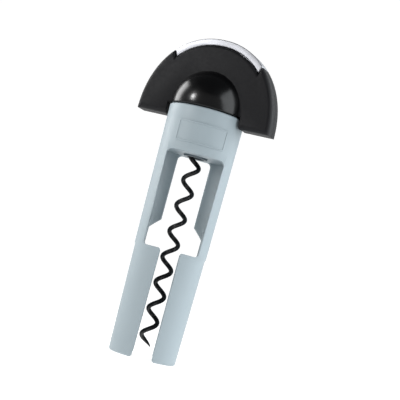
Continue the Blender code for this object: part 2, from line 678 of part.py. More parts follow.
def main():
    clear_scene()
    parts = new_collection(OBJECT_NAME)
    cutters = new_collection("cutters", hidden=True)
    body_frame(parts, cutters)
    guide_bush(parts)
    thrust_washer(parts)
    turning = bpy.data.objects.new("turning_axis", None)
    parts.objects.link(turning)
    turning.rotation_euler.z = HANDLE_TURN
    worm(parts, turning)
    drive_block(parts, cutters, turning)
    black = new_material("abs_black", (0.015, 0.015, 0.017), 0.4)
    handle_shell("handle_shell_front", -1, parts, cutters, turning, black)
    handle_shell("handle_shell_rear", 1, parts, cutters, turning, black)
    trim_strip(parts, cutters, turning)
    zinc = new_material("zinc_plated_steel", (0.55, 0.55, 0.53), 0.35, 1.0)
    for side, place in screw_places().items():
        shell_screw(side, place, parts, cutters, turning, zinc)


main()
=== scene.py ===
"""Looks of the self-pulling table corkscrew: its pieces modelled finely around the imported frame, their
materials, and a small white studio. Everything is in metres, with the origin between the feet, front towards
-Y and up along +Z. It is laid out as an add-on and run as a script."""

import math

import bmesh
import bpy
from bpy.props import FloatProperty, FloatVectorProperty, IntProperty, PointerProperty
from mathutils import Matrix, Vector


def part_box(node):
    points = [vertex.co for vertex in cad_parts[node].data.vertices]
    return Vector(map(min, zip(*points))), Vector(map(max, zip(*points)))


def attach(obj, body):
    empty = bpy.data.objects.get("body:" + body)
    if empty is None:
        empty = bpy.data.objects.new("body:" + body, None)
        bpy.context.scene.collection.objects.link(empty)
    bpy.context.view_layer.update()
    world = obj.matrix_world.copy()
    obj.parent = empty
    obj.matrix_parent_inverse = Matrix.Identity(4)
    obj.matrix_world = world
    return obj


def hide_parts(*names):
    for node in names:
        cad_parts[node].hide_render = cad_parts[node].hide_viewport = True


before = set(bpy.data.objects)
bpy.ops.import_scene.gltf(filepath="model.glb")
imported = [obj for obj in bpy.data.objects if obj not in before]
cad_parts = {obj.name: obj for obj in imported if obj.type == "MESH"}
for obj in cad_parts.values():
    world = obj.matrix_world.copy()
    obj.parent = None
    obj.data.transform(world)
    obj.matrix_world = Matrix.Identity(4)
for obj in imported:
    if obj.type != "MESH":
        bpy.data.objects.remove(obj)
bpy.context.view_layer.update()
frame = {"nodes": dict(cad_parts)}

bl_info = {
    "name": "Self-pulling corkscrew",
    "version": (1, 0, 0),
    "blender": (4, 5, 0),
    "location": "View3D > Sidebar > Corkscrew",
    "description": "Builds a table corkscrew with a turning half-round handle on a two-leg frame",
    "category": "Add Mesh",
}

MM = 0.001
FULL_TURN = 2 * math.pi
JOIN = 0.002 * MM  # vertices nearer than this are one
ON_PLANE = 0.0001 * MM  # vertices nearer than this to a cutting plane lie on it
SHARP = math.radians(38)  # edges that turn further than this are shaded sharp

FRAME_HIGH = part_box("body_frame")[1]
BUSH_LOW, BUSH_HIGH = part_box("guide_bush")
WASHER_LOW, WASHER_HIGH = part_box("thrust_washer")
WORM_LOW, WORM_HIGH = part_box("worm")
FRONT_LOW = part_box("handle_shell_front")[0]
GAP = 0.3 * MM  # between pieces, as in the frame
BUSH_BORE = 4.9 * MM
BUSH_SLEEVE = 6.2 * MM
COUNTERBORE = 2.4 * MM  # depth of the recess around each shell screw


def linear(code):
    """A hex sRGB colour as linear red, green and blue."""
    shares = [int(code[i:i + 2], 16) / 255 for i in (1, 3, 5)]
    return tuple(s / 12.92 if s <= 0.04045 else ((s + 0.055) / 1.055) ** 2.4 for s in shares)


def size(name, value, description):
    """A length property, with its default in metres."""
    return FloatProperty(name=name, description=description, default=value, unit="LENGTH", min=0)


def colour(name, code, description):
    """A colour property, with its default as a hex sRGB colour."""
    return FloatVectorProperty(
        name=name, description=description, default=linear(code), subtype="COLOR", size=3, min=0, max=1
    )


# Property groups


class FrameSizes(bpy.types.PropertyGroup):
    height: size("Height", FRAME_HIGH.z, "From the feet to the rim")
    rim_radius: size("Rim radius", FRAME_HIGH.x, "Outer radius at the rim")
    upper_taper: size("Upper taper", 0.95 * MM, "Off the radius, from the rim down to the legs")
    leg_step: size("Leg step", 0.4 * MM, "How far the legs are set in")
    leg_taper: size("Leg taper", 1.05 * MM, "Off the radius, from the top of the legs to the feet")
    leg_top: size("Leg top", 56.2 * MM, "Height of the notch's bottom edge")
    leg_wall: size("Leg wall", 2.2 * MM, "Wall of the legs")
    cup_wall: size("Cup wall", 3.5 * MM, "Wall of the collar")
    window_top: size("Window top", BUSH_LOW.z + 0.8 * MM, "Height of the windows' top edge")
    floor_top: size("Floor top", WASHER_LOW.z - GAP, "Height of the collar's floor, inside")
    slot_half: size("Slot half-width", 5.15 * MM, "Half the gap between the legs")
    notch_half: size("Notch half-width", 14.0 * MM, "Half the width of the notch")
    window_half: size("Front window half-width", 14.8 * MM, "At the window's top")
    back_half: size("Back window half-width", 8.8 * MM, "Half the width of the back window")
    flare_bottom: size("Flare bottom", 65.8 * MM, "Where the back opening starts to draw in")
    flare_top: size("Flare top", 71.3 * MM, "Where the back opening has drawn in")
    seat_radius: size("Seat radius", 13.6 * MM, "Inner radius of the ledge that meets the bottle's lip")
    seat_height: size("Seat height", 66.0 * MM, "Height of the ledge's underside")
    seat_thickness: size("Seat thickness", 3.0 * MM, "Thickness of the ledge")
    edge_round: size("Edge round", 0.45 * MM, "Rounding along the openings")
    rim_round: size("Rim round", 1.0 * MM, "Rounding along the rim")
    foot_round: size("Foot round", 1.4 * MM, "Rounding under the feet, outside")
    badge_width: size("Badge width", 25.0 * MM, "Width of the plain raised pad")
    badge_height: size("Badge height", 11.0 * MM, "Height of the plain raised pad")
    badge_bottom: size("Badge bottom", 110.9 * MM, "Height of the pad's lower edge")
    badge_raise: size("Badge raise", 0.4 * MM, "How far the pad stands out")


class HandleSizes(bpy.types.PropertyGroup):
    turn: FloatProperty(
        name="Turn", description="Where the handle stands", default=math.radians(-21), unit="ROTATION"
    )
    half_width: size("Half-width", 36.8 * MM, "From the axis to the handle's end")
    bottom: size("Bottom", FRONT_LOW.z + 13.2 * MM, "Height of the arch's lower edge")
    rise: size("Rise", 43.5 * MM, "From the arch's lower edge to its crest")
    power: FloatProperty(
        name="Power", description="Of the arch's superellipse, 2 for an ellipse", default=2.12, min=1
    )
    thickness: size("Thickness", 13.5 * MM, "Front to back")
    edge_round: size("Edge round", 2.4 * MM, "Rounding around both faces")
    seat_round: size("Seat round", 1.6 * MM, "Rounding beside the trim")
    recess_radius: size("Recess radius", FRAME_HIGH.x + 1.3 * MM, "The hollow that clears the tube")
    dome_radius: size("Dome radius", FRAME_HIGH.x - 0.05 * MM, "Radius of the hub's dome")
    dome_lift: size("Dome lift", 2.0 * MM, "Centre of the dome above the rim")
    strip_depth: size("Strip depth", 3.5 * MM, "Radial thickness of the trim")
    strip_reach: size("Strip reach", 24.4 * MM, "From the axis to the end of the trim's top")
    strip_lean: size("Strip lean", 1.6 * MM, "How far the trim's ends lean outwards")
    strip_round: size("Strip round", 0.5 * MM, "Rounding of the trim's edges")
    seam: size("Seam", 0.1 * MM, "Gap between the front and rear shells")


class WormSizes(bpy.types.PropertyGroup):
    wire_radius: size("Wire radius", 1.18 * MM, "Radius of the wire")
    coil_radius: size("Coil radius", 3.15 * MM, "From the axis to the middle of the wire")
    pitch: size("Pitch", 13.6 * MM, "Rise of one turn")
    right_crest: size("Right crest", 100.4 * MM, "A height at which the coil is furthest to the right")
    tip_height: size("Tip height", WORM_LOW.z, "Height of the point above the feet")
    tip_length: size("Tip length", 5.0 * MM, "Length that is ground to a point")
    coil_top: size("Coil top", 106.5 * MM, "Where the coil starts to draw in to the axis")
    points: IntProperty(name="Points a turn", description="Steps along one turn", default=40, min=12)


class Finishes(bpy.types.PropertyGroup):
    frame: colour("Frame", "#9DAAB0", "Satin ABS of the frame")
    bush: colour("Bush", "#666F75", "Acetal of the guide bush")
    washer: colour("Washer", "#DDD9CC", "Natural nylon of the thrust washer")
    coating: colour("Worm coating", "#161617", "Non-stick coating of the worm")
    handle: colour("Handle", "#121215", "Textured ABS of the arch")
    dome: colour("Dome", "#060607", "Polished ABS of the dome")
    steel: colour("Trim", "#BEBFC4", "Stainless steel of the trim")
    zinc: colour("Screws", "#B4B6B2", "Zinc-plated steel of the screws")
    # The floor's colour also colours its painted glow, which is emission and not a lamp.
    floor: colour("Floor", "#FFFFFF", "Studio floor and backdrop")


# Materials


def add_node(tree, kind, links=None, **settings):
    """Adds a node: settings are its properties, links its inputs, each a value or another node's socket."""
    node = tree.nodes.new(kind)
    for name, value in settings.items():
        setattr(node, name, value)
    for name, value in (links or {}).items():
        if isinstance(value, bpy.types.NodeSocket):
            tree.links.new(value, node.inputs[name])
        else:
            node.inputs[name].default_value = value
    return node


def new_material(name, colour, **values):
    """A material with a Principled shader, its constants set on the shader's own sockets."""
    made = bpy.data.materials.new(name)
    made.use_nodes = True
    shader = made.node_tree.nodes["Principled BSDF"]
    shader.inputs["Base Color"].default_value = (*colour, 1)
    for key, value in values.items():
        shader.inputs[key.replace("_", " ").title().replace("Ior", "IOR")].default_value = value
    return made, made.node_tree, shader


def noise(tree, grain, detail=2.0, stretch=(1, 1, 1)):
    """Noise in object coordinates whose features are about one grain across; stretch draws it out."""
    place = add_node(tree, "ShaderNodeTexCoord")
    mapped = add_node(tree, "ShaderNodeMapping", {"Vector": place.outputs["Object"],
                                                  "Scale": [1 / s for s in stretch]})
    made = add_node(tree, "ShaderNodeTexNoise", {"Vector": mapped.outputs["Vector"], "Scale": 1 / grain,
                                                 "Detail": detail})
    return made.outputs["Fac"]


def spread(tree, source, low, high):
    """A noise's middle range drawn out to run from low to high."""
    made = add_node(tree, "ShaderNodeMapRange", {"Value": source, "From Min": 0.3, "From Max": 0.7,
                                                 "To Min": low, "To Max": high})
    return made.outputs["Result"]


def tint(tree, shader, source, colour, low, high):
    """Colour that varies in brightness with a noise, from low to high times its value."""
    dark = [channel * low for channel in colour] + [1]
    light = [min(channel * high, 1) for channel in colour] + [1]
    # The mix node's colour sockets are inputs 6 and 7 and output 2.
    mix = add_node(tree, "ShaderNodeMix", {"Factor": spread(tree, source, 0, 1), 6: dark, 7: light},
                   data_type="RGBA")
    tree.links.new(mix.outputs[2], shader.inputs["Base Color"])


def bump(tree, shader, source, height):
    """Relief of a real height, in metres."""
    made = add_node(tree, "ShaderNodeBump", {"Height": source, "Distance": height, "Strength": 1.0})
    tree.links.new(made.outputs["Normal"], shader.inputs["Normal"])


def satin_abs(colour):
    """ABS moulded in a fine-blasted tool: a soft sheen, and a slow drift of tone where the melt flowed."""
    made, tree, shader = new_material("abs_moulded_satin_grey", colour, ior=1.54)
    tint(tree, shader, noise(tree, 22 * MM, 3, (1, 1, 2.5)), colour, 0.96, 1.03)
    tree.links.new(spread(tree, noise(tree, 3 * MM, 4), 0.46, 0.54), shader.inputs["Roughness"])
    # Blasting leaves pits of about 0.05 mm; they are drawn at 0.35 mm so that they show.
    bump(tree, shader, noise(tree, 0.35 * MM, 2), 0.006 * MM)
    return made


def eroded_abs(colour):
    """Black ABS moulded in a spark-eroded tool: a dry, fine-grained face that scatters the light."""
    made, tree, shader = new_material(
        "abs_moulded_eroded_black", colour, ior=1.54, specular_ior_level=0.2
    )
    tint(tree, shader, noise(tree, 0.8 * MM, 5), colour, 0.88, 1.12)
    tree.links.new(spread(tree, noise(tree, 1.5 * MM, 4), 0.5, 0.6), shader.inputs["Roughness"])
    # Erosion leaves craters of about 0.1 mm; they are drawn at 0.4 mm so that they show.
    bump(tree, shader, noise(tree, 0.4 * MM, 3), 0.03 * MM)
    return made


def polished_abs(colour):
    """ABS from a polished tool: black with soft-edged highlights, faintly wavy from shrinkage."""
    made, tree, shader = new_material(
        "abs_moulded_polished_black", colour, ior=1.54, specular_ior_level=0.38
    )
    tree.links.new(spread(tree, noise(tree, 6 * MM, 3), 0.2, 0.26), shader.inputs["Roughness"])
    bump(tree, shader, noise(tree, 9 * MM, 1), 0.02 * MM)
    return made


def brushed_steel(colour):
    """Stainless strip, brushed across its width: satin, with fine lines along Y."""
    made, tree, shader = new_material("stainless_brushed", colour, metallic=1.0)
    lines = noise(tree, 0.25 * MM, 2, (1, 30, 1))
    tree.links.new(spread(tree, lines, 0.42, 0.55), shader.inputs["Roughness"])
    bump(tree, shader, lines, 0.003 * MM)
    return made


def coated_steel(colour):
    """Steel wire under a sprayed and baked non-stick coat: black, half-gloss, with orange peel."""
    made, tree, shader = new_material("ptfe_coat_on_steel", colour, ior=1.4)
    tree.links.new(spread(tree, noise(tree, 2 * MM, 4), 0.22, 0.36), shader.inputs["Roughness"])
    bump(tree, shader, noise(tree, 0.5 * MM, 2), 0.012 * MM)
    return made


def acetal(colour):
    """Acetal, moulded: waxy, a little translucent, with a dull gloss."""
    made, tree, shader = new_material("acetal_moulded", colour, ior=1.48)
    tint(tree, shader, noise(tree, 4 * MM, 3), colour, 0.93, 1.05)
    tree.links.new(spread(tree, noise(tree, 1.2 * MM, 3), 0.3, 0.42), shader.inputs["Roughness"])
    bump(tree, shader, noise(tree, 0.4 * MM, 2), 0.005 * MM)
    return made


def nylon(colour):
    """Natural nylon, punched from sheet: milky and dull, with slight mottling."""
    made, tree, shader = new_material("nylon_punched", colour, ior=1.53)
    tint(tree, shader, noise(tree, 2 * MM, 4), colour, 0.9, 1.04)
    tree.links.new(spread(tree, noise(tree, 1 * MM, 3), 0.42, 0.55), shader.inputs["Roughness"])
    bump(tree, shader, noise(tree, 0.4 * MM, 3), 0.01 * MM)
    return made


def cast_zinc():
    """Zinc, pressure die-cast and left raw: grey metal with a cloudy, slightly pitted skin."""
    colour = linear("#9B9B98")
    made, tree, shader = new_material("zinc_die_cast", colour, metallic=1.0)
    tint(tree, shader, noise(tree, 2.5 * MM, 5), colour, 0.8, 1.1)
    tree.links.new(spread(tree, noise(tree, 0.8 * MM, 4), 0.35, 0.55), shader.inputs["Roughness"])
    bump(tree, shader, noise(tree, 0.5 * MM, 3), 0.02 * MM)
    return made


def plated_steel(colour):
    """Steel screw with bright zinc plating: metallic, faintly clouded."""
    made, tree, shader = new_material("steel_zinc_plated", colour, metallic=1.0)
    tint(tree, shader, noise(tree, 1.5 * MM, 4), colour, 0.88, 1.05)
    tree.links.new(spread(tree, noise(tree, 0.6 * MM, 3), 0.22, 0.34), shader.inputs["Roughness"])
    bump(tree, shader, noise(tree, 0.3 * MM, 2), 0.004 * MM)
    return made


# Modelling helpers


def loop_of(form, points):
    """A closed loop of edges through the points."""
    corners = [form.verts.new(point) for point in points]
    return [form.edges.new((corners[i - 1], corners[i])) for i in range(len(corners))]


def tidy(form):
    """Merges doubles and has Blender turn the faces outwards. It turns the hub's front half inwards."""
    bmesh.ops.remove_doubles(form, verts=form.verts, dist=JOIN)
    bmesh.ops.recalc_face_normals(form, faces=form.faces)


def revolve(form, profile, steps, closed=False):
    """Turns a profile of (radius, height) points about Z; a closed one is joined end to end."""
    corners = [form.verts.new((radius, 0, height)) for radius, height in profile]
    edges = [form.edges.new(pair) for pair in zip(corners, corners[1:])]
    if closed:
        edges.append(form.edges.new((corners[-1], corners[0])))
    bmesh.ops.spin(form, geom=corners + edges, cent=(0, 0, 0), axis=(0, 0, 1), angle=FULL_TURN,
                   steps=steps, use_merge=True)


def turned(profile, steps=96):
    """A closed form turned about Z from a profile that ends on the axis or is a ring's section."""
    form = bmesh.new()
    revolve(form, profile, steps, closed=profile[0][0] > 0 or profile[-1][0] > 0)
    tidy(form)
    return form


def arc(centre, radius, start, end, steps):
    """Points of an arc in the plane of a profile, its angles in degrees."""
    angles = [math.radians(start + (end - start) * i / steps) for i in range(steps + 1)]
    return [(centre[0] + radius * math.cos(a), centre[1] + radius * math.sin(a)) for a in angles]


def rounded(corners, steps=6):
    """An outline from (x, z, radius) corners, each rounded by an arc of its radius."""
    outline = []
    for i, (x, z, radius) in enumerate(corners):
        here = Vector((x, z))
        if radius == 0:
            outline.append((x, z))
            continue
        before = (Vector(corners[i - 1][:2]) - here).normalized()
        after = (Vector(corners[(i + 1) % len(corners)][:2]) - here).normalized()
        half = before.angle(after) / 2
        middle = here + (before + after).normalized() * radius / math.sin(half)
        start = here + before * radius / math.tan(half) - middle
        sweep = start.angle_signed(here + after * radius / math.tan(half) - middle)
        for step in range(steps + 1):
            outline.append(tuple(middle + Matrix.Rotation(-sweep * step / steps, 2) @ start))
    return outline


def score(form, point, normal, **settings):
    """Adds edges where a plane crosses the form."""
    geometry = form.verts[:] + form.edges[:] + form.faces[:]
    bmesh.ops.bisect_plane(form, geom=geometry, dist=ON_PLANE, plane_co=point, plane_no=normal, **settings)


def keep_side(form, point, normal):
    """Cuts the form by a plane, keeps what lies behind its normal and caps it."""
    score(form, point, normal, clear_outer=True)
    bmesh.ops.holes_fill(form, edges=[edge for edge in form.edges if edge.is_boundary], sides=0)
    tidy(form)


def pull(form, face, offset):
    """Extrudes a face by an offset and gives the vertices of its far end."""
    moved = bmesh.ops.extrude_face_region(form, geom=[face])
    far = [item for item in moved["geom"] if isinstance(item, bmesh.types.BMVert)]
    bmesh.ops.translate(form, verts=far, vec=offset)
    return far


def turns(edge, degrees):
    """Whether an edge's two faces differ in direction by more than this."""
    return edge.calc_face_angle(0) > math.radians(degrees)


def round_over(form, edges, radius, segments):
    """Rounds the edges."""
    bmesh.ops.bevel(form, geom=edges, offset=radius, segments=segments, profile=0.5, affect="EDGES",
                    material=-1)


def rotate(form, angle, axis="Z"):
    """Turns the form about an axis through the origin."""
    bmesh.ops.rotate(form, verts=form.verts, cent=(0, 0, 0), matrix=Matrix.Rotation(angle, 3, axis))


def join(form, other):
    """Adds another form to this one and frees it."""
    mesh = bpy.data.meshes.new("joined")
    other.to_mesh(mesh)
    other.free()
    form.from_mesh(mesh)
    bpy.data.meshes.remove(mesh)


def add_twin(form):
    """Adds the form's mirror image across the plane x = 0."""
    twin = form.copy()
    bmesh.ops.scale(twin, verts=twin.verts, vec=(-1, 1, 1))
    bmesh.ops.reverse_faces(twin, faces=twin.faces)
    join(form, twin)


def piece(name, form, body, nodes, materials):
    """Makes a form an object that rides on a body and stands for its CAD nodes."""
    mesh = bpy.data.meshes.new(name)
    form.to_mesh(mesh)
    form.free()
    for material in materials:
        mesh.materials.append(material)
    mesh.shade_smooth()
    mesh.set_sharp_from_angle(angle=SHARP)
    made = bpy.data.objects.new(name, mesh)
    bpy.context.scene.collection.objects.link(made)
    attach(made, body)
    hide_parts(*nodes)
    return made


# Frame


def tube_radius(sizes, height):
    """The frame's outer radius at a height."""
    waist = sizes.rim_radius - sizes.upper_taper
    leg = waist - sizes.leg_step
    step_bottom = sizes.leg_top - 2 * sizes.leg_step
    if height >= sizes.leg_top:
        share = (height - sizes.leg_top) / (sizes.height - sizes.leg_top)
        return waist + share * sizes.upper_taper
    if height >= step_bottom:
        return leg + (height - step_bottom) / (sizes.leg_top - step_bottom) * sizes.leg_step
    return leg - sizes.leg_taper * (1 - height / step_bottom)


def bore_radius(sizes, height):
    """The frame's inner radius at a height."""
    return min(tube_radius(sizes, height) - sizes.leg_wall, sizes.rim_radius - sizes.cup_wall)


def frame_outline(sizes):
    """Half of the tube's wall laid flat: distances round from the front, and heights."""
    slot, notch = sizes.slot_half, sizes.notch_half
    foot, low, top, lip, flare = 1.7 * MM, 1.7 * MM, 2.4 * MM, 1.0 * MM, 0.6 * MM  # corner radii
    front = rounded([
        (-slot, 0, 0),
        (-slot, sizes.height, 0),
        (0, sizes.height, 0),
        (0, sizes.window_top, 0),
        (sizes.window_half, sizes.window_top, top),
        (notch, sizes.leg_top, low),
        (slot, sizes.leg_top, lip),
        (slot, 0, foot),
        (slot + 2 * foot, 0, 0),
    ])[2:]
    back = rounded([
        (slot + 2 * foot, 0, 0),
        (slot, 0, foot),
        (slot, sizes.leg_top, lip),
        (notch, sizes.leg_top, low),
        (notch, sizes.flare_bottom, flare),
        (sizes.back_half, sizes.flare_top, flare),
        (sizes.back_half, sizes.window_top, top),
        (0, sizes.window_top, 0),
        (0, sizes.height, 0),
        (-slot, sizes.height, 0),
    ])[:-1]
    reach = sizes.rim_radius
    flat = [(reach * math.asin(x / tube_radius(sizes, z)), z) for x, z in front]
    flat += [(reach * (math.pi - math.asin(x / tube_radius(sizes, z))), z) for x, z in back]
    return flat


def bend(sizes, flat, depth_share, height):
    """Where a point of the flat wall goes. The openings' side walls run straight from front to back."""
    angle = flat / sizes.rim_radius
    outer = tube_radius(sizes, height)
    inner = bore_radius(sizes, height)
    behind = angle > math.pi / 2
    across = math.pi - angle if behind else angle
    last = math.radians(50)  # past the openings; from here to the side the inner wall is spread evenly
    if across <= last:
        inner_across = math.asin(outer * math.sin(across) / inner)
    else:
        start = math.asin(outer * math.sin(last) / inner)
        inner_across = start + (math.pi / 2 - start) * (across - last) / (math.pi / 2 - last)
    side = 1 if behind else -1
    out = Vector((outer * math.sin(across), side * outer * math.cos(across), height))
    into = Vector((inner * math.sin(inner_across), side * inner * math.cos(inner_across), height))
    return out.lerp(into, depth_share)


def frame_wall(sizes):
    """The tube with its openings: a flat outline, thickened, its edges rounded, then bent round."""
    form = bmesh.new()
    depth = sizes.leg_wall
    face = form.faces.new([form.verts.new((u, 0, z)) for u, z in frame_outline(sizes)])
    pull(form, face, (0, depth, 0))
    tidy(form)
    half_round = math.pi * sizes.rim_radius
    ends = [f for f in form.faces
            if all(v.co.x < JOIN for v in f.verts) or all(v.co.x > half_round - JOIN for v in f.verts)]
    bmesh.ops.delete(form, geom=ends, context="FACES_ONLY")
    rim = [e for e in form.edges
           if all(v.co.z > sizes.height - JOIN and v.co.y < JOIN for v in e.verts) and not e.is_boundary]
    round_over(form, rim, sizes.rim_round, 5)
    feet = [e for e in form.edges if all(v.co.z < JOIN and v.co.y < JOIN for v in e.verts)]
    round_over(form, feet, sizes.foot_round, 5)
    around = [e for e in form.edges
              if e.is_manifold and turns(e, 60) and abs(e.verts[0].co.y - e.verts[1].co.y) < JOIN]
    round_over(form, around, sizes.edge_round, 3)
    strips, rows = 48, 20
    for i in range(1, strips):
        score(form, (half_round * i / strips, 0, 0), (1, 0, 0))
    heights = [sizes.leg_top, sizes.leg_top - 2 * sizes.leg_step, sizes.seat_height,
               sizes.seat_height + sizes.seat_thickness]
    heights += [sizes.height * i / rows for i in range(1, rows)]
    for height in heights:
        score(form, (0, 0, height), (0, 0, 1))
    for vertex in form.verts:
        flat, deep, height = vertex.co
        vertex.co = bend(sizes, flat, deep / depth, height)
        if abs(vertex.co.x) < JOIN:
            vertex.co.x = 0
    add_twin(form)
    tidy(form)
    return form


def collar_floor(sizes):
    """The floor of the collar, with the bush's hole; its rim lies in the wall."""
    hole = BUSH_SLEEVE + GAP
    step, edge, fillet, root = 0.1 * MM, 0.3 * MM, 0.8 * MM, 0.5 * MM
    low, high = sizes.window_top + step, sizes.floor_top
    wall = sizes.rim_radius - sizes.cup_wall
    profile = [(wall + root, low), (hole + edge, low), (hole, low + edge), (hole, high - edge),
               (hole + edge, high)]
    profile += arc((wall - fillet, high + fillet), fillet, -90, 0, 4)
    profile.append((wall + root, high + fillet))
    return turned(profile)


def seat_ledges(sizes):
    """Two ledges inside the tube, one each side, that stop on the bottle's lip."""
    low = sizes.seat_height
    high = low + sizes.seat_thickness
    wall = bore_radius(sizes, low)
    edge, root = 0.3 * MM, 0.5 * MM
    form = turned([
        (wall + root, low), (sizes.seat_radius + edge, low), (sizes.seat_radius, low + edge),
        (sizes.seat_radius, high), (wall + root, high + wall - sizes.seat_radius),
    ])
    keep_side(form, (sizes.notch_half, 0, 0), (-1, 0, 0))
    add_twin(form)
    return form


def badge(sizes):
    """A plain pad, just proud of the collar, with a narrow border."""
    width, low, high = sizes.badge_width / 2, sizes.badge_bottom, sizes.badge_bottom + sizes.badge_height
    reach = tube_radius(sizes, low)
    half_flat = reach * math.asin(width / reach)
    corner, edge = 0.8 * MM, 0.15 * MM
    sunk, border, border_height = 0.6 * MM, 0.7 * MM, 0.25 * MM
    outline = rounded([(half_flat, low, corner), (half_flat, high, corner), (-half_flat, high, corner),
                       (-half_flat, low, corner)])
    form = bmesh.new()
    face = form.faces.new([form.verts.new((x, 0, z)) for x, z in outline])
    pull(form, face, (0, -sunk - sizes.badge_raise, 0))
    tidy(form)
    panel = [f for f in form.faces if all(v.co.y < -sunk for v in f.verts)]
    bmesh.ops.inset_region(form, faces=panel, thickness=border, use_even_offset=True)
    bmesh.ops.inset_region(form, faces=panel, thickness=edge, depth=-border_height, use_even_offset=True)
    edges = [e for e in form.edges if all(v.co.y < -sunk for v in e.verts) and turns(e, 75)]
    round_over(form, edges, edge, 3)
    steps = 24
    for i in range(1, steps):
        score(form, (half_flat * (2 * i / steps - 1), 0, 0), (1, 0, 0))
    for vertex in form.verts:
        flat, deep, height = vertex.co
        radius = tube_radius(sizes, height) - deep - sunk
        angle = flat / reach
        vertex.co = (radius * math.sin(angle), -radius * math.cos(angle), height)
    tidy(form)
    return form


class CORKSCREW_OT_frame(bpy.types.Operator):
    """Tapered tube with two legs, windows, slots, a collar and a plain badge"""

    bl_idname = "corkscrew.frame"
    bl_label = "Frame"

    def execute(self, context):
        sizes = context.scene.corkscrew_frame
        form = frame_wall(sizes)
        join(form, collar_floor(sizes))
        join(form, seat_ledges(sizes))
        join(form, badge(sizes))
        piece("frame_tube", form, "frame", ["body_frame"],
              [satin_abs(context.scene.corkscrew_finishes.frame)])
        return {"FINISHED"}


class CORKSCREW_OT_bearing(bpy.types.Operator):
    """Guide bush in the collar's floor, and the thrust washer that the handle turns on"""

    bl_idname = "corkscrew.bearing"
    bl_label = "Bush and washer"

    def execute(self, context):
        finishes = context.scene.corkscrew_finishes
        edge, flange_thickness = 0.25 * MM, 1.2 * MM
        bore, sleeve, flange = BUSH_BORE, BUSH_SLEEVE, BUSH_HIGH.x
        low, high = BUSH_LOW.z, BUSH_HIGH.z
        seat = high - flange_thickness
        bush = turned(
            arc((flange - edge, high - edge), edge, 90, 0, 3)
            + arc((flange - edge, seat + edge), edge, 0, -90, 3)
            + [(sleeve, seat)]
            + arc((sleeve - edge, low + edge), edge, 0, -90, 3)
            + arc((bore + edge, low + edge), edge, -90, -180, 3)
            + [(bore, high - 3 * edge), (bore + 3 * edge, high)]
        )
        piece("bush", bush, "frame", ["guide_bush"], [acetal(finishes.bush)])
        inner, outer = flange + GAP, WASHER_HIGH.x
        low, high = WASHER_LOW.z, WASHER_HIGH.z
        washer = turned(
            arc((outer - edge, high - edge), edge, 90, 0, 3)
            + arc((outer - edge, low + edge), edge, 0, -90, 3)
            + arc((inner + edge, low + edge), edge, -90, -180, 3)
            + arc((inner + edge, high - edge), edge, 180, 90, 3)
        )
        piece("washer", washer, "turning_washer", ["thrust_washer"],
              [nylon(finishes.washer)])
        return {"FINISHED"}


# Worm


def coil_point(sizes, turn, height, shank_start):
    """The middle of the wire at a height; above the coil it draws in to the axis."""
    angle = FULL_TURN * (height - sizes.right_crest) / sizes.pitch - turn
    share = min(max((height - sizes.coil_top) / (shank_start - sizes.coil_top), 0), 1)
    radius = sizes.coil_radius * (0.5 + 0.5 * math.cos(math.pi * share))
    return Vector((radius * math.cos(angle), radius * math.sin(angle), height))


def worm_path(sizes, turn):
    """Points along the middle of the wire, from its tip up the coil and shank to its bent end."""
    top, shank = WORM_HIGH.z - sizes.wire_radius, WASHER_HIGH.z + GAP
    count = round((shank - sizes.tip_height) / sizes.pitch * sizes.points)
    step = (shank - sizes.tip_height) / count
    path = [coil_point(sizes, turn, sizes.tip_height + step * i, shank) for i in range(count + 1)]
    bend_radius, bend_steps, end = sizes.wire_radius + 0.12 * MM, 8, 5.2 * MM
    middle = Vector((bend_radius, 0, top - bend_radius))
    for i in range(bend_steps + 1):
        angle = math.pi - math.pi / 2 * i / bend_steps
        path.append(middle + bend_radius * Vector((math.cos(angle), 0, math.sin(angle))))
    path.append(Vector((end, 0, top)))
    return path


class CORKSCREW_OT_worm(bpy.types.Operator):
    """Open helix of coated wire, ground to a point, with a straight shank in the handle"""

    bl_idname = "corkscrew.worm"
    bl_label = "Worm"

    def execute(self, context):
        sizes = context.scene.corkscrew_worm
        turn = context.scene.corkscrew_handle.turn
        path = worm_path(sizes, turn)
        curve = bpy.data.curves.new("worm_path", "CURVE")
        curve.dimensions = "3D"
        curve.bevel_depth = sizes.wire_radius
        curve.bevel_resolution = 6
        curve.use_fill_caps = True
        line = curve.splines.new("POLY")
        line.points.add(len(path) - 1)
        blunt, fullness = 0.04, 0.8  # the point's radius, as a share of the wire's, and its roundness
        for point, place in zip(line.points, path):
            point.co = (*place, 1)
            share = min(1, (place.z - sizes.tip_height) / sizes.tip_length)
            point.radius = max(blunt, math.sin(share * math.pi / 2) ** fullness)
        guide = bpy.data.objects.new("worm_guide", curve)
        context.scene.collection.objects.link(guide)
        context.view_layer.update()
        mesh = bpy.data.meshes.new_from_object(guide.evaluated_get(context.evaluated_depsgraph_get()))
        bpy.data.objects.remove(guide)
        form = bmesh.new()
        form.from_mesh(mesh)
        bpy.data.meshes.remove(mesh)
        tidy(form)
        rotate(form, turn)
        piece("worm_coil", form, "screw_unit", ["worm"],
              [coated_steel(context.scene.corkscrew_finishes.coating)])
        return {"FINISHED"}


# Handle


def arch_height(sizes, x, depth=0.0):
    """The arch's height at x, or that of the arch which lies this deep inside it."""
    share = min(abs(x) / (sizes.half_width - depth), 1)
    return sizes.bottom + (sizes.rise - depth) * (1 - share**sizes.power) ** (1 / sizes.power)


